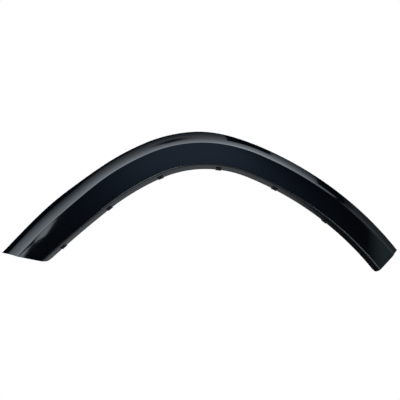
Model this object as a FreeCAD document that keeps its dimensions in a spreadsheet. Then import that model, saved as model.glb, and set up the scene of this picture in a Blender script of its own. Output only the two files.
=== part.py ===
import FreeCAD, Part
import math
import os

"""Front wheel-arch flare: a one-piece plastic moulding with push-in panel clips and clip-on liner nuts.

Frame: +Z up, X along the car, the outer face looks towards -Y. The origin is on the axis of the crown clip, in the
plane of the body panel. "run" is the length along the opening edge from the crown, negative towards the left leg.
"""

SIZES = [
    ("crown_radius", 239.0, "opening edge, arc over the crown"),
    ("crown_angle_left", 24.6, "sweep of the crown arc to the left"),
    ("crown_angle_right", 21.9, "sweep of the crown arc to the right"),
    ("shoulder_radius", 520.0, "left shoulder arc"),
    ("shoulder_angle", 14.4, "sweep of the left shoulder arc"),
    ("left_leg_radius", 3100.0, "left leg, nearly straight"),
    ("right_leg_radius", 672.0, "right leg"),
    ("left_end_run", -404.0, "where the left end cut meets the opening edge"),
    ("left_end_angle", -10.2, "slope of the left end cut"),
    ("right_end_run", 434.5, "where the right end cut meets the opening edge"),
    ("right_end_angle", 45.0, "slope of the right end cut"),
    ("left_tip_run", -450.0, "where the left tip widths hold"),
    ("left_leg_run", -320.0, "where the left leg widths hold"),
    ("left_shoulder_run", -190.0, "where the left shoulder widths hold"),
    ("crown_run", -20.0, "where the crown widths hold"),
    ("right_shoulder_run", 85.0, "where the right shoulder widths hold"),
    ("right_tip_run", 435.0, "where the right tip widths hold"),
    ("bow_left", 22.0, "how far the left end sits behind the crown"),
    ("bow_right", 14.0, "how far the right end sits behind the crown"),
    ("face_left_tip", 43.0, "opening edge to crease, left tip"),
    ("face_left_leg", 48.5, "opening edge to crease, left leg"),
    ("face_left_shoulder", 49.2, "opening edge to crease, left shoulder"),
    ("face_crown", 45.7, "opening edge to crease, crown"),
    ("face_right_shoulder", 42.8, "opening edge to crease, right shoulder"),
    ("face_right_tip", 42.6, "opening edge to crease, right tip"),
    ("band_left_tip", 31.6, "crease to outer edge, left tip"),
    ("band_left_leg", 31.8, "crease to outer edge, left leg"),
    ("band_left_shoulder", 25.7, "crease to outer edge, left shoulder"),
    ("band_crown", 24.7, "crease to outer edge, crown"),
    ("band_right_shoulder", 18.0, "crease to outer edge, right shoulder"),
    ("band_right_tip", 14.6, "crease to outer edge, right tip"),
    ("edge_height_left", 30.0, "opening edge ahead of the panel, left end"),
    ("edge_height_crown", 29.0, "opening edge ahead of the panel, crown"),
    ("edge_height_right", 25.0, "opening edge ahead of the panel, right end"),
    ("crease_height_left", 26.0, "crease ahead of the panel, left end"),
    ("crease_height_crown", 24.0, "crease ahead of the panel, crown"),
    ("crease_height_right", 16.0, "crease ahead of the panel, right end"),
    ("flange_draft_left", 6.2, "lean of the return flange, left end"),
    ("flange_draft_crown", 8.6, "lean of the return flange, crown"),
    ("flange_draft_right", 8.4, "lean of the return flange, right end"),
    ("crease_radius", 1.6, "crease where it is crisp"),
    ("crease_radius_faded", 8.0, "crease at the right end, where it fades out"),
    ("crease_fade_run", 170.0, "where the crease starts to fade"),
    ("edge_radius", 3.2, "rounded opening edge"),
    ("face_crowning", 0.9, "bulge of the face"),
    ("band_scoop_share", 0.09, "hollow of the band as a share of its width across"),
    ("flange_crowning", 0.05, "bulge of the return flange"),
    ("wall", 2.8, "wall thickness"),
    ("inner_radius", 1.2, "inside corner radius"),
    ("lip_thickness", 1.8, "outer edge thickness"),
    ("end_margin", 13.0, "how far the form runs on past an end cut"),
    ("flange_corner_left", 12.0, "rounded corner of the flange, left end"),
    ("flange_corner_right", 9.0, "rounded corner of the flange, right end"),
    ("clip_pitch", 126.6, "spacing of the panel clips and of the liner nuts"),
    ("clip_rise", 34.0, "clip axis out from the opening edge"),
    ("clip_pairs", 3.0, "clips on each side of the crown clip"),
    ("tower_length", 22.0, "clip tower along the flare"),
    ("tower_width", 18.0, "clip tower across the flare"),
    ("tower_wall", 1.8, "clip tower walls"),
    ("tower_standoff", 3.4, "clip tower plate ahead of the panel"),
    ("tower_plate", 2.0, "clip tower plate thickness"),
    ("clip_play", 0.2, "play of a clip in its tower"),
    ("clip_head_half", 6.4, "half the side of the square clip head"),
    ("clip_head_thickness", 1.8, "clip head"),
    ("clip_neck_half", 3.2, "half the side of the clip neck"),
    ("clip_collar_root_radius", 4.8, "clip sealing collar at its root"),
    ("clip_collar_radius", 7.4, "clip sealing collar at the panel"),
    ("clip_blade", 3.4, "thickness of the barbed blade"),
    ("clip_blade_root", 1.1, "how far the blade roots in the collar"),
    ("clip_stem_half", 2.4, "half the width of the blade between its barbs"),
    ("clip_stem_length", 13.0, "blade behind the panel, up to its tip"),
    ("clip_barbs", 4.0, "how many barbs a blade has"),
    ("clip_barb_half", 4.2, "half the width of the blade over its barbs"),
    ("clip_barb_length", 1.9, "a barb along the blade"),
    ("clip_barb_pitch", 2.7, "from barb to barb"),
    ("clip_tip_length", 3.0, "tapered tip of the blade"),
    ("clip_tip_half", 0.8, "half the width of the tip's end"),
    ("rib_offset", 44.0, "cross ribs either side of a clip"),
    ("rib_thickness", 1.6, "cross ribs"),
    ("rib_standoff", 9.0, "cross ribs ahead of the panel"),
    ("nut_offset", 27.2, "liner nut to the right of its clip"),
    ("nut_width", 12.0, "liner nut along the flange"),
    ("nut_reach", 15.0, "liner nut along its legs"),
    ("nut_sheet", 0.8, "liner nut spring steel"),
    ("nut_play", 0.5, "liner nut to the sides of the flange"),
    ("nut_end_play", 0.5, "liner nut to the rear edge of the flange"),
    ("nut_screw_inset", 9.0, "screw axis from the rear edge of the flange"),
    ("nut_screw_radius", 2.1, "threaded barrel bore"),
    ("nut_barrel_radius", 3.6, "threaded barrel"),
    ("nut_barrel_height", 3.0, "threaded barrel above its leg"),
    ("nut_passage_radius", 3.0, "screw passage in the plain leg"),
    ("flange_notch", 7.0, "width of the open notch that the screw passes the flange by"),
]

doc = FreeCAD.newDocument("wheel_arch_flare")
sheet = doc.addObject("Spreadsheet::Sheet", "dims")
for row, (alias, value, note) in enumerate(SIZES, start=1):
    sheet.set(f"A{row}", alias)
    sheet.set(f"B{row}", str(value))
    sheet.set(f"C{row}", note)
    sheet.setAlias(f"B{row}", alias)
doc.recompute()


def size(alias):
    """A driving size, read from the sheet."""
    return float(sheet.get(alias))


WALL = size("wall")
LEFT_RUN = size("left_end_run")
RIGHT_RUN = size("right_end_run")
LEFT_ANGLE = size("left_end_angle")
RIGHT_ANGLE = size("right_end_angle")

# How many sections the form is lofted through, and how often a search halves its range.
SECTIONS = 15
HALVINGS = 40

# Lengths that reach beyond any section, for blanks and cutters.
DEEP = "(dims.edge_height_left + dims.edge_height_crown + dims.edge_height_right)"
WIDE = "2 * (dims.face_crown + dims.band_crown)"
BELOW = "(dims.flange_draft_left + dims.flange_draft_crown + dims.flange_draft_right)"


def arc_length(radius, angle):
    return size(radius) * math.radians(size(angle))


LEFT_ARCS = [
    (size("crown_radius"), arc_length("crown_radius", "crown_angle_left")),
    (size("shoulder_radius"), arc_length("shoulder_radius", "shoulder_angle")),
    (size("left_leg_radius"), math.inf),
]
RIGHT_ARCS = [
    (size("crown_radius"), arc_length("crown_radius", "crown_angle_right")),
    (size("right_leg_radius"), math.inf),
]


def station(run):
    """Frame on the opening edge: X along the flare, Y rearwards, Z outwards, in the local plane of the panel."""
    side = 1 if run >= 0 else -1
    x, z, turned, left = 0.0, -size("clip_rise"), 0.0, abs(run)
    for radius, length in RIGHT_ARCS if run >= 0 else LEFT_ARCS:
        turn = min(left, length) / radius
        x += radius * (math.sin(turned + turn) - math.sin(turned))
        z += radius * (math.cos(turned + turn) - math.cos(turned))
        turned += turn
        left -= min(left, length)
    end, bow = (RIGHT_RUN, size("bow_right")) if run >= 0 else (LEFT_RUN, size("bow_left"))
    back = bow * (run / end) ** 2
    return FreeCAD.Placement(
        FreeCAD.Vector(side * x, back, z),
        FreeCAD.Rotation(FreeCAD.Vector(0, 1, 0), side * math.degrees(turned)),
    )


PLACES = ["left_tip", "left_leg", "left_shoulder", "crown", "right_shoulder", "right_tip"]
PLACE_RUNS = [size(f"{place}_run") for place in PLACES]


def strip(name, run):
    """Width of a strip at a run: a cubic through its six places that never overshoots them."""
    widths = [size(f"{name}_{place}") for place in PLACES]
    gaps = [b - a for a, b in zip(PLACE_RUNS, PLACE_RUNS[1:])]
    rises = [(b - a) / gap for a, b, gap in zip(widths, widths[1:], gaps)]
    slopes = [0.0 if a * b <= 0 else 2 * a * b / (a + b) for a, b in zip(rises, rises[1:])]
    slopes = [rises[0]] + slopes + [rises[-1]]
    inside = [i for i, start in enumerate(PLACE_RUNS[:-1]) if run >= start]
    i = inside[-1] if inside else 0
    f = (run - PLACE_RUNS[i]) / gaps[i]
    f = min(max(f, 0.0), 1.0)
    swing = gaps[i] * f * (1 - f) * ((1 - f) * (slopes[i] - rises[i]) - f * (slopes[i + 1] - rises[i]))
    return widths[i] + gaps[i] * rises[i] * f + swing


def blend(name, run):
    """A size given at the left end, the crown and the right end, eased from the crown to each end."""
    end = "right" if run >= 0 else "left"
    share = min(run / (RIGHT_RUN if run >= 0 else LEFT_RUN), 1.0)
    ease = share * share * (3 - 2 * share)
    crown = size(f"{name}_crown")
    return crown + (size(f"{name}_{end}") - crown) * ease


def crease_radius(run):
    fade = (run - size("crease_fade_run")) / (RIGHT_RUN - size("crease_fade_run"))
    fade = min(max(fade, 0.0), 1.0)
    return size("crease_radius") + (size("crease_radius_faded") - size("crease_radius")) * fade ** 1.5


class Side:
    """One side of the section: an arc from start to end, bulging out of the moulding where the bulge is positive."""

    def __init__(self, start, end, bulge):
        chord = (end[0] - start[0], end[1] - start[1])
        length = math.hypot(*chord)
        self.sign = 1 if bulge > 0 else -1
        self.radius = (length * length / 4 + bulge * bulge) / (2 * abs(bulge))
        lean = self.sign * (self.radius - abs(bulge)) / length
        self.centre = (
            (start[0] + end[0]) / 2 + chord[1] * lean,
            (start[1] + end[1]) / 2 - chord[0] * lean,
        )

    def inset(self, depth):
        """The same side moved into the moulding."""
        moved = Side.__new__(Side)
        moved.sign = self.sign
        moved.centre = self.centre
        moved.radius = self.radius - self.sign * depth
        return moved

    def toward(self, point):
        """The point of this side in line with its centre and another point."""
        du, dv = point[0] - self.centre[0], point[1] - self.centre[1]
        reach = self.radius / math.hypot(du, dv)
        return (self.centre[0] + du * reach, self.centre[1] + dv * reach)

    def at_height(self, height, near):
        """Where this side stands at a height ahead of the panel, nearest to a place across."""
        half = math.sqrt(self.radius ** 2 - (height - self.centre[1]) ** 2)
        places = [self.centre[0] - half, self.centre[0] + half]
        return (min(places, key=lambda place: abs(place - near)), height)


def meeting(one, two, near):
    """Where two sides cross, nearest to a point."""
    du, dv = two.centre[0] - one.centre[0], two.centre[1] - one.centre[1]
    apart = math.hypot(du, dv)
    along = (apart ** 2 + one.radius ** 2 - two.radius ** 2) / (2 * apart)
    across = math.sqrt(one.radius ** 2 - along ** 2)
    foot = (one.centre[0] + du * along / apart, one.centre[1] + dv * along / apart)
    shift = (-dv * across / apart, du * across / apart)
    points = [(foot[0] + shift[0], foot[1] + shift[1]), (foot[0] - shift[0], foot[1] - shift[1])]
    return min(points, key=lambda point: math.dist(point, near))


def rounded(one, two, radius, near):
    """The ends and the centre of the rounding between two sides."""
    centre = meeting(one.inset(radius), two.inset(radius), near)
    return one.toward(centre), two.toward(centre), centre


def section(run, inset, floor):
    """Closed section at a run: across from the opening edge, and height ahead of the panel, down to the floor."""
    face, band = strip("face", run), strip("band", run)
    heel = (-blend("flange_draft", run), 0.0)
    edge = (0.0, blend("edge_height", run))
    crease = (face, blend("crease_height", run))
    lip = (face + band, size("lip_thickness"))
    scoop = size("band_scoop_share") * math.dist(crease, lip)
    flange = Side(heel, edge, size("flange_crowning")).inset(inset)
    front = Side(edge, crease, size("face_crowning")).inset(inset)
    shoulder = Side(crease, lip, -scoop).inset(inset)
    edge_round = max(size("edge_radius") - inset, size("inner_radius"))
    crease_round = max(crease_radius(run) - inset, size("inner_radius"))
    foot = flange.at_height(floor, heel[0])
    edge_in, edge_out, edge_centre = rounded(flange, front, edge_round, edge)
    crease_in, crease_out, crease_centre = rounded(front, shoulder, crease_round, crease)
    tip = shoulder.at_height(0.0, lip[0]) if inset else lip
    below = (tip[0], floor)
    frame = station(run)

    def at(point):
        return frame.multVec(FreeCAD.Vector(0, -point[1], point[0]))

    def arc(start, end, centre):
        """An arc as one cubic curve."""
        first = FreeCAD.Vector(start[0] - centre[0], start[1] - centre[1], 0)
        second = FreeCAD.Vector(end[0] - centre[0], end[1] - centre[1], 0)
        turn = math.copysign(first.getAngle(second), first.cross(second).z)
        reach = 4 / 3 * math.tan(turn / 4)
        curve = Part.BezierCurve()
        curve.setPoles([
            at(start),
            at((start[0] - first.y * reach, start[1] + first.x * reach)),
            at((end[0] + second.y * reach, end[1] - second.x * reach)),
            at(end),
        ])
        return curve.toShape()

    return Part.Wire([
        arc(foot, edge_in, flange.centre),
        arc(edge_in, edge_out, edge_centre),
        arc(edge_out, crease_in, front.centre),
        arc(crease_in, crease_out, crease_centre),
        arc(crease_out, tip, shoulder.centre),
        Part.makeLine(at(tip), at(below)),
        Part.makeLine(at(below), at(foot)),
    ])


def slope(angle):
    """Turn of an end cut from level."""
    return FreeCAD.Rotation(FreeCAD.Vector(0, 1, 0), -angle)


def past(run, angle):
    """How far the form runs on along the flare past an end, so that the sloped cut passes through all of it."""
    cut_line = station(run).Rotation.inverted().multVec(slope(angle).multVec(FreeCAD.Vector(1, 0, 0)))
    return abs(cut_line.x / cut_line.z) * (strip("face", run) + strip("band", run)) + size("end_margin")


def lofted(name, inset, floor):
    """A loft through sections spaced evenly along the flare, past both end cuts."""
    first = LEFT_RUN - past(LEFT_RUN, LEFT_ANGLE)
    last = RIGHT_RUN + past(RIGHT_RUN, RIGHT_ANGLE)
    wires = []
    for i in range(SECTIONS):
        wire = doc.addObject("Part::Feature", f"{name}_section_{i}")
        wire.Shape = section(first + (last - first) * i / (SECTIONS - 1), inset, floor)
        wires.append(wire)
    loft = doc.addObject("Part::Loft", name)
    loft.Sections = wires
    loft.Solid = True
    loft.Ruled = False
    loft.MaxDegree = 3
    return loft


form = lofted("form", 0.0, 0.0)
core = lofted("core", WALL, -2 * WALL)
web_limit = lofted("web_limit", WALL / 2, -2 * WALL)


def placed(kind, name, sizes, **places):
    """A primitive whose sizes, and whose place along its axes, follow the sheet."""
    item = doc.addObject(kind, name)
    for prop, expression in sizes.items():
        item.setExpression(prop, expression)
    for axis, expression in places.items():
        item.setExpression(f"Placement.Base.{axis}", expression)
    return item


def cut(name, base, tool):
    item = doc.addObject("Part::Cut", name)
    item.Base = base
    item.Tool = tool
    return item


def fused(name, shapes):
    item = doc.addObject("Part::MultiFuse", name)
    item.Shapes = shapes
    return item


def group(name, item, frames):
    """Copies of one item, each at its own frame."""
    links = []
    for i, frame in enumerate(frames):
        link = doc.addObject("App::Link", f"{name}_{i + 1}")
        link.LinkedObject = item
        link.LinkTransform = True
        link.Placement = frame
        links.append(link)
    compound = doc.addObject("Part::Compound", name)
    compound.Links = links
    return compound


# Where the clips, ribs and nuts stand along the flare.
PITCH = size("clip_pitch")
PAIRS = int(size("clip_pairs"))
CLIP_RUNS = [PITCH * i for i in range(-PAIRS, PAIRS + 1)]
RIB_RUNS = [run + offset for run in CLIP_RUNS for offset in (-size("rib_offset"), size("rib_offset"))][1:-1]
NUT_RUNS = [run + size("nut_offset") for run in CLIP_RUNS[:-1]]


def clip_frame(run):
    """On a clip axis in the plane of the panel."""
    frame = station(run)
    return FreeCAD.Placement(frame.multVec(FreeCAD.Vector(0, 0, size("clip_rise"))), frame.Rotation)


def heel(run):
    """Rear edge of the flange, on the side seen from the wheel."""
    return station(run).multVec(FreeCAD.Vector(0, 0, -blend("flange_draft", run)))


def flange_frame(run):
    """On the rear edge of the flange: X along it, Y rearwards along the flange, Z out through its wall."""
    front = station(run).multVec(FreeCAD.Vector(0, -blend("edge_height", run), 0))
    along = (heel(run + 1) - heel(run - 1)).normalize()
    out = along.cross(heel(run) - front).normalize()
    return FreeCAD.Placement(heel(run), FreeCAD.Rotation(along, out.cross(along), out, "ZXY"))


# Clip tower: a three-sided box under a plate with a slot, open at one end so that the clip slides in.
tower_block = placed(
    "Part::Box", "tower_block",
    {"Length": "dims.tower_length", "Width": DEEP, "Height": "dims.tower_width"},
    x="-dims.tower_length / 2",
    y=f"-dims.tower_standoff - {DEEP}",
    z="-dims.tower_width / 2",
)
tower_room = placed(
    "Part::Box", "tower_room",
    {
        "Length": "dims.tower_length",
        "Width": DEEP,
        "Height": "dims.tower_width - 2 * dims.tower_wall",
    },
    x="-dims.tower_length / 2 + dims.tower_wall",
    y=f"-dims.tower_standoff - dims.tower_plate - {DEEP}",
    z="-dims.tower_width / 2 + dims.tower_wall",
)
tower_slot = placed(
    "Part::Box", "tower_slot",
    {
        "Length": "dims.tower_length",
        "Width": "dims.tower_standoff + dims.tower_plate * 2",
        "Height": "2 * (dims.clip_neck_half + dims.clip_play)",
    },
    x="-dims.clip_neck_half - dims.clip_play",
    y="-dims.tower_standoff - dims.tower_plate * 2",
    z="-dims.clip_neck_half - dims.clip_play",
)
tower = cut("tower", tower_block, fused("tower_opening", [tower_room, tower_slot]))

# Cross rib: a thin web over the whole section, standing clear of the panel.
rib = placed(
    "Part::Box", "rib",
    {"Length": "dims.rib_thickness", "Width": DEEP, "Height": WIDE},
    x="-dims.rib_thickness / 2",
    y=f"-dims.rib_standoff - {DEEP}",
    z=f"-{BELOW}",
)

webs = doc.addObject("Part::Compound", "webs")
webs.Links = [
    group("towers", tower, [clip_frame(run) for run in CLIP_RUNS]),
    group("ribs", rib, [station(run) for run in RIB_RUNS]),
]
rooted_webs = doc.addObject("Part::Common", "rooted_webs")
rooted_webs.Base = webs
rooted_webs.Tool = web_limit


def end_cutter(name, run, angle):
    """A block whose upper side is the end cut, through the opening edge."""
    block = placed("Part::Box", name, {"Length": f"2 * {WIDE}", "Width": f"2 * {DEEP}", "Height": WIDE})
    doc.recompute()
    corner = FreeCAD.Vector(-block.Length.Value / 2, -block.Width.Value / 2, -block.Height.Value)
    turn = slope(angle)
    block.Placement = FreeCAD.Placement(station(run).Base + turn.multVec(corner), turn)
    return block


shell = cut("shell", form, core)
left_trimmed = cut("left_trimmed", shell, end_cutter("left_end", LEFT_RUN, LEFT_ANGLE))
trimmed = cut("trimmed", left_trimmed, end_cutter("right_end", RIGHT_RUN, RIGHT_ANGLE))


def corner_cutter(name, run, angle, inward, radius):
    """What rounds the corner where an end cut meets the rear edge of the flange, seen square to the flange."""
    normal = slope(angle).multVec(FreeCAD.Vector(0, 0, 1))
    base = station(run).Base
    reach = inward * past(run, angle)
    low, high = run - reach, run + reach
    for _ in range(HALVINGS):
        middle = (low + high) / 2
        low, high = (middle, high) if (heel(middle) - base).dot(normal) < 0 else (low, middle)
    frame = flange_frame(low)
    end_line = frame.Rotation.inverted().multVec(normal).cross(FreeCAD.Vector(0, 0, 1)).normalize()
    if end_line.y > 0:
        end_line = end_line.negative()
    rear_line = FreeCAD.Vector(inward, 0, 0)
    opening = rear_line.getAngle(end_line)
    bisector = (rear_line + end_line).normalize()
    touch = radius / math.tan(opening / 2)
    rear_touch, end_touch = rear_line * touch, end_line * touch
    nearest = bisector * (radius / math.sin(opening / 2) - radius)
    clear = 2 * WALL
    rear_clear = rear_touch + FreeCAD.Vector(0, clear, 0)
    end_clear = end_touch + FreeCAD.Vector(end_line.y, -end_line.x, 0) * (inward * clear)
    outline = Part.Wire([
        Part.Arc(rear_touch, nearest, end_touch).toShape(),
        Part.makeLine(end_touch, end_clear),
        Part.makeLine(end_clear, bisector * (-2 * clear)),
        Part.makeLine(bisector * (-2 * clear), rear_clear),
        Part.makeLine(rear_clear, rear_touch),
    ])
    cutter = doc.addObject("Part::Feature", name)
    solid = Part.Face(outline).extrude(FreeCAD.Vector(0, 0, 3 * WALL))
    solid.translate(FreeCAD.Vector(0, 0, -WALL))
    cutter.Shape = solid
    cutter.Placement = frame
    return cutter


left_corner = corner_cutter("left_corner", LEFT_RUN, LEFT_ANGLE, 1, size("flange_corner_left"))
right_corner = corner_cutter("right_corner", RIGHT_RUN, RIGHT_ANGLE, -1, size("flange_corner_right"))
skin = cut("skin", cut("left_rounded", trimmed, left_corner), right_corner)

# Notches in the rear edge of the flange, where the screws pass it.
notch = placed(
    "Part::Box", "notch",
    {
        "Length": "dims.flange_notch",
        "Width": "dims.nut_screw_inset + dims.flange_notch / 2 + dims.wall",
        "Height": "dims.wall * 3",
    },
    x="-dims.flange_notch / 2",
    y="-dims.nut_screw_inset - dims.flange_notch / 2",
    z="-dims.wall",
)
notched = cut("notched", skin, group("notches", notch, [flange_frame(run) for run in NUT_RUNS]))
moulding = fused("moulding", [notched, rooted_webs])
moulding.Label = "flare_moulding"

# Panel clip, built along Y: a square head in the tower, a neck, a sealing collar and a flat barbed blade.
SEAT = "-dims.tower_standoff - dims.tower_plate - dims.clip_play / 2"
clip_head = placed(
    "Part::Box", "clip_head",
    {
        "Length": "2 * dims.clip_head_half",
        "Width": "dims.clip_head_thickness",
        "Height": "2 * dims.clip_head_half",
    },
    x="-dims.clip_head_half",
    y=f"{SEAT} - dims.clip_head_thickness",
    z="-dims.clip_head_half",
)
clip_neck = placed(
    "Part::Box", "clip_neck",
    {
        "Length": "2 * dims.clip_neck_half",
        "Width": "dims.tower_plate + 2 * dims.clip_play",
        "Height": "2 * dims.clip_neck_half",
    },
    x="-dims.clip_neck_half",
    y=SEAT,
    z="-dims.clip_neck_half",
)
clip_collar = placed(
    "Part::Cone", "clip_collar",
    {
        "Radius1": "dims.clip_collar_root_radius",
        "Radius2": "dims.clip_collar_radius",
        "Height": "dims.tower_standoff - dims.clip_play / 2",
    },
    y="-dims.tower_standoff + dims.clip_play / 2",
)
clip_collar.Placement.Rotation = FreeCAD.Rotation(FreeCAD.Vector(1, 0, 0), -90)
clip_stem = placed(
    "Part::Box", "clip_stem",
    {
        "Length": "2 * dims.clip_stem_half",
        "Width": "dims.clip_stem_length + dims.clip_blade_root",
        "Height": "dims.clip_blade",
    },
    x="-dims.clip_stem_half",
    y="-dims.clip_blade_root",
    z="-dims.clip_blade / 2",
)


def taper(name, start, length, near, far):
    """A flat wedge of the blade, from one half width to another."""
    item = doc.addObject("Part::Wedge", name)
    bounds = {
        "Xmin": f"-({near})", "Xmax": near, "X2min": f"-({far})", "X2max": far,
        "Ymin": start, "Ymax": f"{start} + {length}",
        "Zmin": "-dims.clip_blade / 2", "Zmax": "dims.clip_blade / 2",
        "Z2min": "-dims.clip_blade / 2", "Z2max": "dims.clip_blade / 2",
    }
    for prop, expression in bounds.items():
        item.setExpression(prop, expression)
    return item


clip_tip = taper(
    "clip_tip", "dims.clip_stem_length", "dims.clip_tip_length", "dims.clip_stem_half", "dims.clip_tip_half"
)
barbs = [
    taper(
        f"clip_barb_{i + 1}",
        f"dims.clip_stem_length - dims.clip_barb_length - dims.clip_barb_pitch * {i}",
        "dims.clip_barb_length",
        "dims.clip_barb_half",
        "dims.clip_stem_half",
    )
    for i in range(int(size("clip_barbs")))
]
clip = fused("clip", [clip_head, clip_neck, clip_collar, clip_stem, clip_tip] + barbs)
panel_clips = group("panel_clips", clip, [clip_frame(run) for run in CLIP_RUNS])

# Liner nut: a folded spring-steel strip over the rear edge of the flange, with a threaded barrel on its hidden leg.
GRIP = "(dims.wall + 2 * dims.nut_play)"
nut_outside = placed(
    "Part::Box", "nut_outside",
    {"Length": "dims.nut_width", "Width": "dims.nut_reach", "Height": f"{GRIP} + 2 * dims.nut_sheet"},
    x="-dims.nut_width / 2",
    y="dims.nut_end_play - dims.nut_reach",
    z="-dims.nut_play - dims.nut_sheet",
)
nut_fold = placed(
    "Part::Cylinder", "nut_fold",
    {"Radius": f"{GRIP} / 2 + dims.nut_sheet", "Height": "dims.nut_width"},
    x="-dims.nut_width / 2",
    y="dims.nut_end_play",
    z="dims.wall / 2",
)
nut_fold.Placement.Rotation = FreeCAD.Rotation(FreeCAD.Vector(0, 1, 0), 90)
nut_barrel = placed(
    "Part::Cylinder", "nut_barrel",
    {"Radius": "dims.nut_barrel_radius", "Height": "dims.nut_sheet + dims.nut_barrel_height"},
    y="-dims.nut_screw_inset",
    z="dims.wall + dims.nut_play",
)
nut_gap = placed(
    "Part::Box", "nut_gap",
    {"Length": "dims.nut_width", "Width": "dims.nut_reach", "Height": GRIP},
    x="-dims.nut_width / 2",
    y="dims.nut_end_play - dims.nut_reach",
    z="-dims.nut_play",
)
nut_fold_gap = placed(
    "Part::Cylinder", "nut_fold_gap",
    {"Radius": f"{GRIP} / 2", "Height": "dims.nut_width"},
    x="-dims.nut_width / 2",
    y="dims.nut_end_play",
    z="dims.wall / 2",
)
nut_fold_gap.Placement.Rotation = FreeCAD.Rotation(FreeCAD.Vector(0, 1, 0), 90)
nut_thread = placed(
    "Part::Cylinder", "nut_thread",
    {"Radius": "dims.nut_screw_radius", "Height": "dims.wall * 2 + dims.nut_barrel_height * 2"},
    y="-dims.nut_screw_inset",
    z="dims.wall / 2",
)
nut_passage = placed(
    "Part::Cylinder", "nut_passage",
    {"Radius": "dims.nut_passage_radius", "Height": "dims.wall"},
    y="-dims.nut_screw_inset",
    z="-dims.wall",
)
nut_body = fused("nut_body", [nut_outside, nut_fold, nut_barrel])
nut_cuts = fused("nut_cuts", [nut_gap, nut_fold_gap, nut_thread, nut_passage])
nut = cut("nut", nut_body, nut_cuts)
liner_nuts = group("liner_nuts", nut, [flange_frame(run) for run in NUT_RUNS])

doc.recompute()
SUB_PARTS = [moulding, panel_clips, liner_nuts]
for item in doc.Objects:
    if "Invalid" in item.State or "Error" in item.State:
        raise RuntimeError(f"{item.Label} did not build: {item.State}")
for item in SUB_PARTS:
    if item.Shape.isNull() or not item.Shape.isValid():
        raise RuntimeError(f"{item.Label} has no valid shape")

os.makedirs("parts", exist_ok=True)
for item in SUB_PARTS:
    item.Shape.exportStep(f"parts/{item.Label}.step")
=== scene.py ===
import math

import bpy
import numpy as np
from bpy.props import FloatProperty, FloatVectorProperty, PointerProperty
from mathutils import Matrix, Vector


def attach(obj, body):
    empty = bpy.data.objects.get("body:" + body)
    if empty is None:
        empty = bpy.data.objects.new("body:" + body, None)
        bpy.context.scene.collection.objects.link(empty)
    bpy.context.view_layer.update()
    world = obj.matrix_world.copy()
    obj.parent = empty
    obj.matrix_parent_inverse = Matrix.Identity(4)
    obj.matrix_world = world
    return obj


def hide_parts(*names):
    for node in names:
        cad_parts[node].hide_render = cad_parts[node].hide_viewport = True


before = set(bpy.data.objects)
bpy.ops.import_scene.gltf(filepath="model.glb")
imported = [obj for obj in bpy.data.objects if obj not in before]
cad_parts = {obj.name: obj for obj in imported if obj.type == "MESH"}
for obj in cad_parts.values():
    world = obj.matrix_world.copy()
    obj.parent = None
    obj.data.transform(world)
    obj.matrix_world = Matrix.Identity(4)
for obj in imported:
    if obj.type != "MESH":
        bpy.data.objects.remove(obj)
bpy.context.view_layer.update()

bl_info = {
    "name": "Wheel-arch flare",
    "version": (1, 0, 0),
    "blender": (4, 5, 0),
    "location": "View3D > Sidebar > Flare",
    "description": "Dresses a gloss-black wheel-arch flare moulding with its clips and liner nuts",
    "category": "Object",
}

MM = 0.001

# Runs, in metres along the opening edge from the crown, at which the strip widths below hold.
PLACE_RUNS = np.array([-450, -320, -190, -20, 85, 435]) * MM
FACE_WIDTHS = np.array([43.0, 48.5, 49.2, 45.7, 42.8, 42.6]) * MM
BAND_WIDTHS = np.array([31.6, 31.8, 25.7, 24.7, 18.0, 14.6]) * MM

# The opening edge: radius and turn of each arc from the crown outwards, the last one going on past the end.
ON_PAST = math.pi
LEFT_ARCS = ((239.0 * MM, math.radians(24.6)), (520.0 * MM, math.radians(14.4)), (3100.0 * MM, ON_PAST))
RIGHT_ARCS = ((239.0 * MM, math.radians(21.9)), (672.0 * MM, ON_PAST))
# Where the ends are cut, at what angle, and how far each end bows back towards the body.
LEFT_RUN, RIGHT_RUN = -404.0 * MM, 434.5 * MM
LEFT_ANGLE, RIGHT_ANGLE = math.radians(-10.2), math.radians(45)
LEFT_BOW, RIGHT_BOW = 22.0 * MM, 14.0 * MM
LEFT_CORNER, RIGHT_CORNER = 12.0 * MM, 9.0 * MM

# The section at the left end, the crown and the right end.
EDGE_HEIGHTS = np.array([30.0, 29.0, 25.0]) * MM
CREASE_HEIGHTS = np.array([26.0, 24.0, 16.0]) * MM
DRAFTS = np.array([6.2, 8.6, 8.4]) * MM
FACE_CROWNING, FLANGE_CROWNING, SCOOP_SHARE = 0.9 * MM, 0.05 * MM, 0.09
CREASE_FADE_RUN, CREASE_FADE_POWER = 170.0 * MM, 1.5
INNER_RADIUS = 1.2 * MM

# The back: clips, ribs either side of them, clip towers, liner nuts and the notches that the screws pass by.
CLIP_RISE = 34.0 * MM
CLIP_RUNS = 126.6 * MM * np.arange(-3, 4)
RIB_RUNS = (CLIP_RUNS[:, None] + 44.0 * MM * np.array([-1, 1])).ravel()[1:-1]
RIB_THICKNESS, RIB_STANDOFF = 1.6 * MM, 9.0 * MM
TOWER_LENGTH, TOWER_WIDTH, TOWER_WALL = 22.0 * MM, 18.0 * MM, 1.8 * MM
TOWER_STANDOFF, TOWER_PLATE, TOWER_SLOT_HALF = 3.4 * MM, 2.0 * MM, 3.4 * MM
NUT_RUNS = CLIP_RUNS[:-1] + 27.2 * MM
NOTCH_WIDTH, NOTCH_DEPTH = 7.0 * MM, 12.5 * MM

# How far an end cut may slant along the flare, how often the search for it halves, and steps on the way.
END_REACH, HALVINGS, RUN_STEPS = 75.0 * MM, 40, 260
# Steps along the flange, the edge, the face, the crease and the band.
# Outside, the lip's own edge takes the last ones.
STEPS = (12, 10, 40, 12, 42)
LIP_STEPS = 2
ROWS = np.arange(sum(STEPS) + 1.0)
RIB_ROWS = ROWS[::3]
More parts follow.
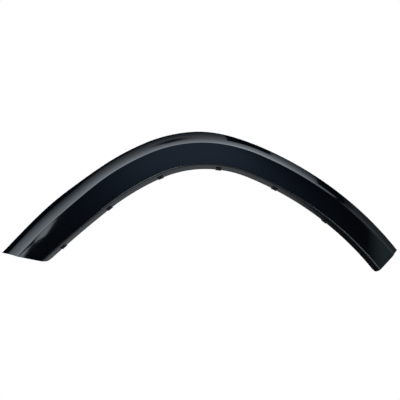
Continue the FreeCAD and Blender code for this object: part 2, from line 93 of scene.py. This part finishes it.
# The lattice side that looks into the moulding, and what keeps a rib's foot from closing to nothing.
INNER_SIDE, EDGE_EASE = 3, 0.3 * MM
SHARP_ANGLE = math.radians(32)

BLACK, WHITE = (0, 0, 0, 1), (1, 1, 1, 1)
AMBIENT = (0.3, 0.31, 0.34, 1)
FLOOR_TONES = ((0.86, 0.86, 0.86, 1), (0.9, 0.9, 0.9, 1))
# How bright the camera sees the floor near the flare, and the squared distances where it turns white.
FLOOR_GLOW, FLOOR_FADE = 0.36, (1.5, 9.0)
# Levels of the floor, of the card on it and of the low pane; of the soft box and of what hangs under it.
FLOOR_Z, BACK_FLOOR_Z, LOW_PANE_Z = -1.3, -1.25, -1.2
SKY_Z, HUNG_Z = 2.2, 1.9
# The dark room and the panes stand in front of the flare.
ROOM_Y, PANE_Y = -2.6, -2.4
PANE = (2.8, 3.1, 3.4, 1)
LOW_PANE = (7, 7.5, 8, 1)
# Soft spots: two places of the middle on the card, and the width.
BLUE_SPOT, SKY_GAP = (-0.1, 0.85, 0.95), (-0.64, -0.2, 0.33)
BLUE, GREEN = (0.27, 0.4, 0.6, 1), (0.27, 0.39, 0.41, 1)
GREEN_LEAN, GREEN_EDGE = 0.95, (1.8, 2.1)
SKY_COLOUR = (1.55, 1.75, 1.95, 1)
SKY_CURVE, SKY_RISE, SKY_DYING = 0.05, (-1.8, 0.6), (3.1, 1.4)
SKY_FAR, SKY_FAR_EDGE = 0.16, (2.9, 3.3)
BACK_FLOOR_DIM, BACK_FLOOR_GREY = (0.02, 0.02, 0.022, 1), (0.27, 0.29, 0.31, 1)
BACK_FLOOR_EDGE = (1.42, 1.62)
LAMP_PLACE, LAMP_AIM, LAMP_SIZE, LAMP_POWER = (-1.0, 0.2, 2.0), (0.0, 0.0, -0.1), 3.0, 60
SENSOR_MM, CLIP_END = 36.0, 50.0


class FlareSizes(bpy.types.PropertyGroup):
    """Sizes of the moulding, the same as the solids'."""

    wall: FloatProperty(name="Wall", description="Wall thickness", default=2.8 * MM, unit="LENGTH")
    edge_radius: FloatProperty(
        name="Opening edge", description="Radius of the opening edge", default=3.2 * MM, unit="LENGTH"
    )
    crease_radius: FloatProperty(
        name="Crease", description="Radius of the crease where it is crisp", default=1.6 * MM, unit="LENGTH"
    )
    crease_radius_faded: FloatProperty(
        name="Faded crease",
        description="Radius of the crease at the right end",
        default=8.0 * MM,
        unit="LENGTH",
    )
    lip: FloatProperty(name="Lip", description="Thickness of the outer edge", default=1.8 * MM, unit="LENGTH")


class FlareColours(bpy.types.PropertyGroup):
    """Colours and gloss of the finishes."""

    black: FloatVectorProperty(
        name="Gloss black",
        description="Colour of the moulding",
        subtype="COLOR",
        default=(0.0016, 0.0026, 0.0042),
    )
    back: FloatVectorProperty(
        name="Moulded back",
        description="Colour of the unpolished back",
        subtype="COLOR",
        default=(0.018, 0.019, 0.021),
    )
    nylon: FloatVectorProperty(
        name="Nylon", description="Colour of the panel clips", subtype="COLOR", default=(0.55, 0.52, 0.45)
    )
    steel: FloatVectorProperty(
        name="Spring steel",
        description="Colour of the liner nuts",
        subtype="COLOR",
        default=(0.014, 0.014, 0.016),
    )
    gloss: FloatProperty(
        name="Roughness",
        description="Roughness of the polished front",
        subtype="FACTOR",
        default=0.05,
        min=0,
        max=1,
    )


class StageSizes(bpy.types.PropertyGroup):
    """Where the camera stands and what it takes in."""

    distance: FloatProperty(
        name="Camera distance", description="From the body panel to the camera", default=1.8, unit="LENGTH"
    )
    width: FloatProperty(
        name="Width in view",
        description="What the picture spans in the plane of the panel",
        default=0.836,
        unit="LENGTH",
    )
    centre_x: FloatProperty(
        name="Centre X", description="Middle of the picture across", default=-0.012, unit="LENGTH"
    )
    centre_z: FloatProperty(
        name="Centre Z", description="Middle of the picture up", default=-0.1072, unit="LENGTH"
    )


def walk(arcs, length):
    """Place and turn after going a length along a chain of tangent arcs: each arc adds its own chord."""
    across, down, turned = (np.zeros_like(length) for _ in range(3))
    remaining = length.copy()
    for radius, angle in arcs:
        turn = np.minimum(remaining / radius, angle)
        across += radius * (np.sin(turned + turn) - np.sin(turned))
        down += radius * (np.cos(turned) - np.cos(turned + turn))
        turned += turn
        remaining -= turn * radius
    return across, down, turned


def place(run, out, height):
    """Row-frame points: along the opening edge by run, then outwards square to it, and ahead of the panel.

    The edge bows back by the square of the share of the way to its end.
    """
    right = run >= 0
    right_across, right_down, right_turn = walk(RIGHT_ARCS, np.where(right, run, 0.0))
    left_across, left_down, left_turn = walk(LEFT_ARCS, np.where(right, 0.0, -run))
    turn = left_turn - right_turn
    x = right_across - left_across
    z = -CLIP_RISE - right_down - left_down
    back = np.where(right, RIGHT_BOW * (run / RIGHT_RUN) ** 2, LEFT_BOW * (run / LEFT_RUN) ** 2)
    return np.stack([x - out * np.sin(turn), back - height, z + out * np.cos(turn)], -1)


def strip(widths, run):
    """A cubic through the six widths that never overshoots them: slopes are harmonic means of the rises."""
    gaps = np.diff(PLACE_RUNS)
    rises = np.diff(widths) / gaps
    same = rises[:-1] * rises[1:] > 0
    mean = np.where(same, 2 * rises[:-1] * rises[1:] / np.where(same, rises[:-1] + rises[1:], 1), 0)
    slopes = np.concatenate([rises[:1], mean, rises[-1:]])
    span = np.clip(np.searchsorted(PLACE_RUNS, run, side="right") - 1, 0, len(gaps) - 1)
    share = np.clip((run - PLACE_RUNS[span]) / gaps[span], 0, 1)
    before = (1 - share) * (slopes[span] - rises[span])
    after = share * (slopes[span + 1] - rises[span])
    swing = gaps[span] * share * (1 - share) * (before - after)
    return widths[span] + gaps[span] * rises[span] * share + swing


def blend(ends, run):
    """Left, crown and right values, eased from the crown to each end by a smooth step."""
    share = np.clip(np.where(run >= 0, run / RIGHT_RUN, run / LEFT_RUN), 0, 1)
    ease = share * share * (3 - 2 * share)
    return ends[1] + (np.where(run >= 0, ends[2], ends[0]) - ends[1]) * ease


def circle(start, end, bulge):
    """Centre, radius and sign of the circle through two points that bulges to the left of their chord.

    The radius is a quarter of the chord squared plus the bulge squared, over twice the bulge.
    """
    chord = end - start
    length = np.linalg.norm(chord, axis=-1)
    sign = np.sign(bulge)
    size = np.abs(bulge)
    radius = (length ** 2 / 4 + size ** 2) / (2 * size)
    lean = (sign * (radius - size) / length)[..., None]
    centre = (start + end) / 2 + np.stack([chord[..., 1], -chord[..., 0]], -1) * lean
    return centre, radius, sign


def moved_in(side, depth):
    """The same circle moved into the wall by a depth."""
    centre, radius, sign = side
    return centre, radius - sign * depth, sign


def on(side, point):
    """The point of a circle in line with its centre and another point."""
    centre, radius, _ = side
    way = point - centre
    return centre + way * (radius / np.linalg.norm(way, axis=-1))[..., None]


def rounding(one, two, radius, near):
    """Ends and centre of the arc that touches two circles: its centre is on both, moved in by its radius."""
    one_centre, one_radius, _ = moved_in(one, radius)
    two_centre, two_radius, _ = moved_in(two, radius)
    apart = two_centre - one_centre
    gap = np.linalg.norm(apart, axis=-1)
    along = (gap ** 2 + one_radius ** 2 - two_radius ** 2) / (2 * gap)
    across = np.sqrt(np.maximum(one_radius ** 2 - along ** 2, 0))
    unit = apart / gap[..., None]
    foot = one_centre + unit * along[..., None]
    side = np.stack([-unit[..., 1], unit[..., 0]], -1) * across[..., None]
    first, second = foot + side, foot - side
    nearer = np.linalg.norm(first - near, axis=-1) < np.linalg.norm(second - near, axis=-1)
    centre = np.where(nearer[..., None], first, second)
    return on(one, centre), on(two, centre), centre


def at_height(side, height, near):
    """Where a circle stands at a height, nearest to a place across."""
    centre, radius, _ = side
    half = np.sqrt(np.maximum(radius ** 2 - (height - centre[..., 1]) ** 2, 0))
    low, high = centre[..., 0] - half, centre[..., 0] + half
    across = np.where(np.abs(low - near) < np.abs(high - near), low, high)
    return np.stack([across, np.full_like(across, height)], -1)


def arc_points(start, end, centre, share):
    """A share of the way along an arc about a centre, turning evenly."""
    first, last = start - centre, end - centre
    cross = first[..., 0] * last[..., 1] - first[..., 1] * last[..., 0]
    turn = np.arctan2(cross, (first * last).sum(-1)) * share
    square = np.stack([-first[..., 1], first[..., 0]], -1)
    return centre + first * np.cos(turn)[..., None] + square * np.sin(turn)[..., None]


def half_section(sizes, run, inset, floor):
    """Start, end and centre of each arc on one side of the wall: flange, edge, face, crease and band."""
    face, band = strip(FACE_WIDTHS, run), strip(BAND_WIDTHS, run)
    flat = np.zeros_like(run)
    heel = np.stack([-blend(DRAFTS, run), flat], -1)
    edge = np.stack([flat, blend(EDGE_HEIGHTS, run)], -1)
    crease = np.stack([face, blend(CREASE_HEIGHTS, run)], -1)
    lip = np.stack([face + band, flat + sizes.lip], -1)
    scoop = SCOOP_SHARE * np.linalg.norm(lip - crease, axis=-1)
    flange = moved_in(circle(heel, edge, flat + FLANGE_CROWNING), inset)
    front = moved_in(circle(edge, crease, flat + FACE_CROWNING), inset)
    shoulder = moved_in(circle(crease, lip, -scoop), inset)
    fade = np.clip((run - CREASE_FADE_RUN) / (RIGHT_RUN - CREASE_FADE_RUN), 0, 1) ** CREASE_FADE_POWER
    soft = sizes.crease_radius + (sizes.crease_radius_faded - sizes.crease_radius) * fade
    edge_round = flat + max(sizes.edge_radius - inset, INNER_RADIUS)
    crease_round = np.maximum(soft - inset, INNER_RADIUS)
    edge_start, edge_end, edge_centre = rounding(flange, front, edge_round, edge)
    crease_start, crease_end, crease_centre = rounding(front, shoulder, crease_round, crease)
    foot = at_height(flange, floor, heel[..., 0])
    tip = at_height(shoulder, floor, lip[..., 0]) if inset else lip
    return [
        (foot, edge_start, flange[0]),
        (edge_start, edge_end, edge_centre),
        (edge_end, crease_start, front[0]),
        (crease_start, crease_end, crease_centre),
        (crease_end, tip, shoulder[0]),
    ]


def contour(sizes, run, row, inset, floor=0.0):
    """Section point of each run and row: rows go up the flange and over edge, face and crease to the lip."""
    steps = np.array(STEPS)
    steps[-1] -= 0 if inset else LIP_STEPS
    starts = np.cumsum(np.append(0, steps))
    point = np.zeros(np.shape(run) + (2,))
    sides = half_section(sizes, run, inset, floor)
    for (start, end, centre), first, count in zip(sides, starts, steps):
        here = (row >= first) & (row <= first + count)
        point = np.where(here[..., None], arc_points(start, end, centre, (row - first) / count), point)
    lip = sides[-1][1]
    remaining = 1 - (row - starts[-1]) / LIP_STEPS
    edge = np.stack([lip[..., 0], lip[..., 1] * remaining], -1)
    return np.where((row > starts[-1])[..., None], edge, point)


def end_runs(sizes, inset, run, angle, corner, inward):
    """Run at which each row meets an end cut, by bisection, drawn in round the corner of the flange."""
    base = place(np.array([run]), np.zeros(1), np.zeros(1))[0]
    normal = np.array([-math.sin(angle), 0.0, math.cos(angle)])
    low, high = np.full(ROWS.shape, run - END_REACH), np.full(ROWS.shape, run + END_REACH)
    for _ in range(HALVINGS):
        middle = (low + high) / 2
        section = contour(sizes, middle, ROWS, inset)
        above = (place(middle, section[:, 0], section[:, 1]) - base) @ normal > 0
        kept = above if inward > 0 else ~above
        low, high = np.where(kept, low, middle), np.where(kept, middle, high)
    depth = np.clip(contour(sizes, low, ROWS, inset)[:, 1], 0, corner)
    drawn = corner - np.sqrt(np.maximum(corner ** 2 - (corner - depth) ** 2, 0))
    return low + inward * np.where(ROWS <= STEPS[0], drawn, 0.0)


def shell_side(sizes, inset):
    """Runs and section points of one side of the wall, spread evenly from end cut to end cut."""
    share = np.linspace(0, 1, RUN_STEPS + 1)[:, None]
    first = end_runs(sizes, inset, LEFT_RUN, LEFT_ANGLE, LEFT_CORNER, 1)
    last = end_runs(sizes, inset, RIGHT_RUN, RIGHT_ANGLE, RIGHT_CORNER, -1)
    run = first + (last - first) * share
    return run, contour(sizes, run, np.broadcast_to(ROWS, run.shape), inset)


def lattice_skin(points, filled):
    """Skin of the filled cells of a lattice: a quad wherever a filled cell meets an empty one.

    Each quad comes with its side's number: the axis counted from one, negative on the low side.
    """
    index = np.arange(np.prod(points.shape[:3])).reshape(points.shape[:3])
    around = np.pad(filled, 1)
    quads, sides = [], []
    for axis in range(3):
        one, two = np.eye(3, dtype=int)[[(axis + 1) % 3, (axis + 2) % 3]]
        for step in (-1, 1):
            bare = filled & ~np.roll(around, -step, axis)[1:-1, 1:-1, 1:-1]
            cell = np.argwhere(bare)
            cell[:, axis] += step > 0
            ring = [cell, cell + one, cell + one + two, cell + two]
            quads.append(np.stack([index[tuple(corner.T)] for corner in ring[::step]], -1))
            sides.append(np.full(len(cell), step * (axis + 1)))
    used, faces = np.unique(np.concatenate(quads), return_inverse=True)
    return points.reshape(-1, 3)[used], faces.reshape(-1, 4), np.concatenate(sides)


def rib_block(sizes, run):
    """One cross rib: the section above its standoff, carried through the thickness from right to left."""
    section = contour(sizes, np.full(RIB_ROWS.shape, run), RIB_ROWS, sizes.wall / 2, RIB_STANDOFF)
    shape = (len(RIB_ROWS), 2, 2)
    runs = np.broadcast_to((run + RIB_THICKNESS / 2 * np.array([1, -1]))[:, None], shape)
    out = np.broadcast_to(section[:, None, None, 0], shape)
    foot = np.full(RIB_ROWS.shape, RIB_STANDOFF - EDGE_EASE)
    heights = np.broadcast_to(np.stack([foot, section[:, 1]], -1)[:, None, :], shape)
    return lattice_skin(place(runs, out, heights), np.ones((len(RIB_ROWS) - 1, 1, 1), bool))


def tower_block(sizes, run):
    """One clip tower: three walls under a slotted plate, on a lattice of where walls and slot begin."""
    half_length, half_width = TOWER_LENGTH / 2, TOWER_WIDTH / 2
    along = np.array([-half_length, TOWER_WALL - half_length, -TOWER_SLOT_HALF, half_length])
    half = np.array([TOWER_SLOT_HALF, half_width - TOWER_WALL, half_width])
    across = CLIP_RISE + np.concatenate([-half[::-1], half])
    section = contour(sizes, np.full(ROWS.shape, run), ROWS, sizes.wall / 2, TOWER_STANDOFF)
    top = np.interp(across, section[:, 0], section[:, 1])
    foot = np.full(top.shape, TOWER_STANDOFF)
    levels = np.stack([foot, foot + TOWER_PLATE, top], -1)
    shape = (len(along), len(across), levels.shape[1])
    runs = np.broadcast_to((run + along)[:, None, None], shape)
    points = place(runs, np.broadcast_to(across[:, None], shape), np.broadcast_to(levels, shape))
    filled = np.zeros(np.array(shape) - 1, bool)
    filled[..., 0] = True
    filled[2, 2, 0] = False
    filled[0, :, 1] = True
    filled[:, [0, -1], 1] = True
    return lattice_skin(points, filled)


def add_mesh(name, points, faces):
    """A new object at the origin from whole arrays of points and faces."""
    mesh = bpy.data.meshes.new(name)
    mesh.from_pydata(points, [], faces)
    mesh.update()
    piece = bpy.data.objects.new(name, mesh)
    bpy.context.scene.collection.objects.link(piece)
    return piece


def smooth(piece):
    """Shades a piece smooth, apart from its sharp edges."""
    piece.data.polygons.foreach_set("use_smooth", np.ones(len(piece.data.polygons), bool))
    piece.data.set_sharp_from_angle(angle=SHARP_ANGLE)


class Socket:
    """A shader value that takes part in sums: each operator adds one Math node."""

    def __init__(self, tree, socket):
        self.tree = tree
        self.socket = socket

    def maths(self, operation, one, two):
        return Shader(self.tree).node("ShaderNodeMath", {"operation": operation}, {0: one, 1: two})

    def __add__(self, other):
        return self.maths("ADD", self, other)

    def __sub__(self, other):
        return self.maths("SUBTRACT", self, other)

    def __rsub__(self, other):
        return self.maths("SUBTRACT", other, self)

    def __mul__(self, other):
        return self.maths("MULTIPLY", self, other)

    def __pow__(self, other):
        return self.maths("POWER", self, other)

    __radd__ = __add__
    __rmul__ = __mul__


class Shader:
    """Adds nodes to one tree: a type, its settings, then the values or links of its sockets."""

    def __init__(self, tree):
        self.tree = tree

    def node(self, kind, settings=None, inputs=None, output=0):
        node = self.tree.nodes.new(kind)
        for name, value in (settings or {}).items():
            setattr(node, name, value)
        for name, value in (inputs or {}).items():
            if isinstance(value, Socket):
                self.tree.links.new(value.socket, node.inputs[name])
            else:
                node.inputs[name].default_value = value
        return Socket(self.tree, node.outputs[output])

    def object_place(self):
        return self.node("ShaderNodeTexCoord", output="Object")

    def places(self):
        """The places across, back and up."""
        return [self.node("ShaderNodeSeparateXYZ", {}, {0: self.object_place()}, axis) for axis in "XYZ"]

    def noise(self, scale, detail):
        inputs = {"Vector": self.object_place(), "Scale": scale, "Detail": detail}
        return self.node("ShaderNodeTexNoise", {}, inputs, "Fac")

    def mix(self, factor, one, two):
        return self.node("ShaderNodeMix", {"data_type": "RGBA"}, {0: factor, 6: one, 7: two}, 2)

    def ramp(self, value, low, high):
        """Rises from nothing to one as the value goes from low to high, in a straight line."""
        return self.node("ShaderNodeMapRange", {}, {"Value": value, "From Min": low, "From Max": high})

    def bump(self, height, strength, distance):
        inputs = {"Height": height, "Strength": strength, "Distance": distance}
        return self.node("ShaderNodeBump", {}, inputs, "Normal")

    def feed(self, node, **values):
        """Links values to a node's sockets, whose names are written with low lines for spaces."""
        for name, value in values.items():
            self.tree.links.new(value.socket, node.inputs[name.replace("_", " ")])


def new_material(name):
    """A fresh material, with its shader and its Principled node."""
    material = bpy.data.materials.new(name)
    material.use_nodes = True
    principled = material.node_tree.nodes["Principled BSDF"]
    return material, Shader(material.node_tree), principled


def toned(colour, tone):
    """A colour made lighter or darker, ready for a socket."""
    return tuple(tone * part for part in colour) + (1.0,)


def gloss_black(colours):
    """Polished black moulding: a faint long ripple, fine dust in the gloss and a trace of blue."""
    material, shader, principled = new_material("gloss_black")
    dust = shader.noise(scale=900.0, detail=2.0)
    cloud = shader.noise(scale=14.0, detail=2.0)
    shader.feed(
        principled,
        Base_Color=shader.mix(cloud, toned(colours.black, 1.0), toned(colours.black, 1.7)),
        Roughness=colours.gloss + 0.05 * dust ** 3.0 + 0.03 * cloud,
        Normal=shader.bump(shader.noise(scale=22.0, detail=1.0), strength=0.05, distance=1.2 * MM),
    )
    principled.inputs["IOR"].default_value = 1.5
    return material


def grained_black(colours):
    """Back of the moulding: bare plastic straight off a textured tool, duller and greyer, with flow marks."""
    material, shader, principled = new_material("moulded_back")
    flow = shader.noise(scale=40.0, detail=4.0)
    shader.feed(
        principled,
        Base_Color=shader.mix(flow, toned(colours.back, 1.0), toned(colours.back, 1.6)),
        Roughness=0.38 + 0.2 * flow,
        Normal=shader.bump(shader.noise(scale=1500.0, detail=2.0), strength=0.25, distance=0.2 * MM),
    )
    return material


def natural_nylon(colours):
    """Panel clips: waxy off-white nylon with a faint mottling."""
    material, shader, principled = new_material("natural_nylon")
    mottle = shader.noise(scale=260.0, detail=3.0)
    shader.feed(
        principled,
        Base_Color=shader.mix(mottle, toned(colours.nylon, 1.0), toned(colours.nylon, 0.85)),
        Roughness=0.42 + 0.15 * mottle,
        Normal=shader.bump(mottle, strength=0.15, distance=0.2 * MM),
    )
    return material


def phosphated_steel(colours):
    """Liner nuts: black phosphated spring steel, worn a little brighter in specks."""
    material, shader, principled = new_material("phosphated_steel")
    grain = shader.noise(scale=700.0, detail=4.0)
    shader.feed(
        principled,
        Base_Color=shader.mix(grain ** 3.0, toned(colours.steel, 1.0), toned(colours.steel, 2.6)),
        Roughness=0.5 - 0.15 * grain,
        Normal=shader.bump(grain, strength=0.2, distance=0.1 * MM),
    )
    principled.inputs["Metallic"].default_value = 0.6
    return material


def pale_floor():
    """Matt pale floor with a faint cloudiness that the camera sees fade to white away from the flare."""
    material, shader, principled = new_material("pale_floor")
    x, y, _ = shader.places()
    glow = FLOOR_GLOW + (1 - FLOOR_GLOW) * shader.ramp(x ** 2.0 + y ** 2.0, *FLOOR_FADE)
    seen = shader.node("ShaderNodeLightPath", output="Is Camera Ray")
    shader.feed(
        principled,
        Base_Color=shader.mix(shader.noise(scale=3.0, detail=3.0), *FLOOR_TONES),
        Emission_Color=shader.mix(seen * glow, BLACK, WHITE),
    )
    principled.inputs["Emission Strength"].default_value = 1.0
    principled.inputs["Specular IOR Level"].default_value = 0.0
    principled.inputs["Roughness"].default_value = 0.9
    return material


def plain_glow(name, colour):
    """Card that only gives light, of one colour."""
    material, _, principled = new_material(name)
    principled.inputs["Base Color"].default_value = BLACK
    principled.inputs["Specular IOR Level"].default_value = 0.0
    principled.inputs["Emission Color"].default_value = colour
    principled.inputs["Emission Strength"].default_value = 1.0
    return material


def shaded_glow(name, colour):
    """Card that only gives light, of a colour worked out from the places across, back and up."""
    material = plain_glow(name, BLACK)
    shader = Shader(material.node_tree)
    principled = material.node_tree.nodes["Principled BSDF"]
    shader.feed(principled, Emission_Color=colour(shader, *shader.places()))
    return material


def spot(one, two, middle_one, middle_two, width):
    """A soft round spot: one over one plus the fourth power of the distance from its middle, in widths."""
    far = ((one - middle_one) ** 2.0 + (two - middle_two) ** 2.0) * (1 / width ** 2)
    return (1.0 + far ** 2.0) ** -1.0


def room_glow(shader, x, y, z):
    """The dark room in front of the flare: a faint blue spot in its middle, green low on the right."""
    glow = shader.mix(spot(x, z, *BLUE_SPOT), BLACK, BLUE)
    return shader.mix(shader.ramp(x - GREEN_LEAN * z, *GREEN_EDGE), glow, GREEN)


def sky_glow(shader, x, y, z):
    """A wide soft box overhead: light behind, dark in front and to the right, with a gap and a dim end."""
    rise = shader.ramp(y + SKY_CURVE * x ** 2.0, *SKY_RISE)
    dying = shader.ramp(x, *SKY_DYING) * (1.0 - spot(x, y, *SKY_GAP))
    far = SKY_FAR * shader.ramp(x, *SKY_FAR_EDGE)
    return shader.mix(rise * dying + far, BLACK, SKY_COLOUR)


def floor_glow(shader, x, y, z):
    """The floor behind the flare: dim close behind it, grey farther back."""
    return shader.mix(shader.ramp(y, *BACK_FLOOR_EDGE), BACK_FLOOR_DIM, BACK_FLOOR_GREY)


def flat_piece(name, low, high, material):
    """A rectangle between two opposite corners that share one of their three places."""
    low, high = np.array(low, float), np.array(high, float)
    one, two = np.eye(3)[low != high] * (high - low)
    piece = add_mesh(name, np.array([low, low + one, high, low + two]), [(0, 1, 2, 3)])
    piece.data.materials.append(material)
    return piece


def reflected_cards():
    """The cards round the flare, which are seen only in its gloss."""
    dark = plain_glow("dark_card", BLACK)
    pane = plain_glow("window_pane", PANE)
    low_pane = plain_glow("low_pane", LOW_PANE)
    cards = [
        flat_piece("room_card", (-7, ROOM_Y, FLOOR_Z), (7, ROOM_Y, 8), shaded_glow("room_card", room_glow)),
        flat_piece("sky_card", (-7, ROOM_Y, SKY_Z), (9, 5, SKY_Z), shaded_glow("sky_card", sky_glow)),
        flat_piece(
            "back_floor_card",
            (-5, 0.3, BACK_FLOOR_Z),
            (5, 6, BACK_FLOOR_Z),
            shaded_glow("floor_card", floor_glow),
        ),
        flat_piece("ceiling_card", (0.5, ROOM_Y, HUNG_Z), (1.2, 0.1, HUNG_Z), dark),
        flat_piece("right_card", (1.95, ROOM_Y, HUNG_Z), (2.62, 1.1, HUNG_Z), dark),
        flat_piece("right_end_card", (2.42, 1.1, HUNG_Z), (2.62, 5, HUNG_Z), dark),
        flat_piece("window", (-1.83, PANE_Y, -0.15), (-1.59, PANE_Y, 0.12), pane),
        flat_piece("side_window", (-2.5, PANE_Y, -0.7), (-1.87, PANE_Y, -0.17), pane),
        flat_piece("low_window", (0.12, -2.55, LOW_PANE_Z), (0.5, -1.5, LOW_PANE_Z), low_pane),
    ]
    for card in cards:
        card.visible_camera = False
        card.visible_diffuse = False
        card.visible_shadow = False
    return cards


def overhead_lamp(scene):
    """A large soft lamp above, kept out of the gloss."""
    lamp = bpy.data.lights.new("overhead", "AREA")
    lamp.shape = "RECTANGLE"
    lamp.size = LAMP_SIZE
    lamp.size_y = LAMP_SIZE
    lamp.energy = LAMP_POWER
    item = bpy.data.objects.new("overhead", lamp)
    item.location = LAMP_PLACE
    item.rotation_euler = (Vector(LAMP_AIM) - Vector(LAMP_PLACE)).to_track_quat("-Z", "Y").to_euler()
    item.visible_glossy = False
    scene.collection.objects.link(item)


def studio_world():
    """A world that is white to the camera and in the gloss, and a soft grey light otherwise."""
    world = bpy.data.worlds.new("studio")
    world.use_nodes = True
    shader = Shader(world.node_tree)
    path = world.node_tree.nodes.new("ShaderNodeLightPath")
    outputs = [path.outputs[f"Is {kind} Ray"] for kind in ("Camera", "Glossy", "Transmission")]
    seen = sum(Socket(world.node_tree, output) for output in outputs)
    shader.feed(world.node_tree.nodes["Background"], Color=shader.mix(seen, AMBIENT, WHITE))
    return world


def photo_camera(scene, stage):
    """A camera square to the body panel, as far off and as wide as the stage says."""
    data = bpy.data.cameras.new("photo_camera")
    data.sensor_width = SENSOR_MM
    data.sensor_height = SENSOR_MM
    data.lens = SENSOR_MM * stage.distance / stage.width
    data.clip_end = CLIP_END
    camera = bpy.data.objects.new("photo_camera", data)
    camera.location = (stage.centre_x, -stage.distance, stage.centre_z)
    camera.rotation_euler = (math.radians(90), 0, 0)
    scene.collection.objects.link(camera)
    return camera


class FLARE_OT_shell(bpy.types.Operator):
    """Builds the moulded shell: its section carried along the opening edge and cut off at both ends"""

    bl_idname = "flare.shell"
    bl_label = "Flare shell"

    def execute(self, context):
        sizes, colours = context.scene.flare_sizes, context.scene.flare_colours
        outer_run, outer = shell_side(sizes, 0.0)
        inner_run, inner = shell_side(sizes, sizes.wall)
        layers = [
            place(outer_run, outer[..., 0], outer[..., 1]),
            place(inner_run, inner[..., 0], inner[..., 1]),
        ]
        cell_run = (inner_run[:-1, :-1] + inner_run[1:, 1:]) / 2
        cell_depth = (outer[:-1, :-1, 1] + outer[1:, 1:, 1]) / 2
        beside = np.abs(cell_run[..., None] - NUT_RUNS).min(-1)
        notch = (beside < NOTCH_WIDTH / 2) & (cell_depth < NOTCH_DEPTH) & (ROWS[:-1] < STEPS[0])
        points, faces, sides = lattice_skin(np.stack(layers, 2), ~notch[..., None])
        piece = add_mesh("flare_shell", points, faces[:, ::-1])
        piece.data.materials.append(gloss_black(colours))
        piece.data.materials.append(grained_black(colours))
        piece.data.polygons.foreach_set("material_index", (sides == INNER_SIDE).astype(np.int32))
        smooth(piece)
        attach(piece, "root")
        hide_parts("flare_moulding")
        return {"FINISHED"}


class FLARE_OT_webs(bpy.types.Operator):
    """Builds the cross ribs and the clip towers on the back of the shell, rooted half a wall deep"""

    bl_idname = "flare.webs"
    bl_label = "Ribs and clip towers"

    def execute(self, context):
        sizes, colours = context.scene.flare_sizes, context.scene.flare_colours
        blocks = [rib_block(sizes, run) for run in RIB_RUNS]
        blocks += [tower_block(sizes, run) for run in CLIP_RUNS]
        starts = np.cumsum([0] + [len(points) for points, _, _ in blocks])
        points = np.concatenate([points for points, _, _ in blocks])
        faces = np.concatenate([faces + start for (_, faces, _), start in zip(blocks, starts)])
        piece = add_mesh("flare_webs", points, faces)
        piece.data.materials.append(grained_black(colours))
        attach(piece, "root")
        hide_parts("flare_moulding")
        return {"FINISHED"}


class FLARE_OT_fasteners(bpy.types.Operator):
    """Finishes the panel clips and the liner nuts"""

    bl_idname = "flare.fasteners"
    bl_label = "Clips and nuts"

    def execute(self, context):
        colours = context.scene.flare_colours
        for node, finish in (("panel_clips", natural_nylon), ("liner_nuts", phosphated_steel)):
            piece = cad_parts[node]
            piece.data.materials.clear()
            piece.data.materials.append(finish(colours))
        return {"FINISHED"}


class FLARE_OT_stage(bpy.types.Operator):
    """Sets the floor, the reflected cards, the lamp, the world and the camera"""

    bl_idname = "flare.stage"
    bl_label = "Stage"

    def execute(self, context):
        scene = context.scene
        floor = flat_piece("floor", (-5, -5, FLOOR_Z), (5, 3.2, FLOOR_Z), pale_floor())
        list(reflected_cards())
        overhead_lamp(scene)
        scene.world = studio_world()
        scene.view_settings.view_transform = "Standard"
        scene.camera = photo_camera(scene, scene.flare_stage)
        return {"FINISHED"}


class FLARE_PT_panel(bpy.types.Panel):
    """Lists the pieces of the flare and their sizes"""

    bl_label = "Wheel-arch flare"
    bl_idname = "FLARE_PT_panel"
    bl_space_type = "VIEW_3D"
    bl_region_type = "UI"
    bl_category = "Flare"

    def draw(self, context):
        for operator in OPERATORS:
            self.layout.operator(operator.bl_idname)
        for group_name in GROUPS:
            group = getattr(context.scene, group_name)
            for name in group.__annotations__:
                self.layout.prop(group, name)


OPERATORS = (FLARE_OT_shell, FLARE_OT_webs, FLARE_OT_fasteners, FLARE_OT_stage)
GROUPS = {"flare_sizes": FlareSizes, "flare_colours": FlareColours, "flare_stage": StageSizes}
CLASSES = tuple(GROUPS.values()) + OPERATORS + (FLARE_PT_panel,)


def register():
    for item in CLASSES:
        bpy.utils.register_class(item)
    for name, group in GROUPS.items():
        setattr(bpy.types.Scene, name, PointerProperty(type=group))


def unregister():
    for name in GROUPS:
        delattr(bpy.types.Scene, name)
    for item in reversed(CLASSES):
        bpy.utils.unregister_class(item)


def main():
    register()
    bpy.ops.flare.shell()
    bpy.ops.flare.webs()
    bpy.ops.flare.fasteners()
    bpy.ops.flare.stage()


if __name__ == "__main__":
    main()
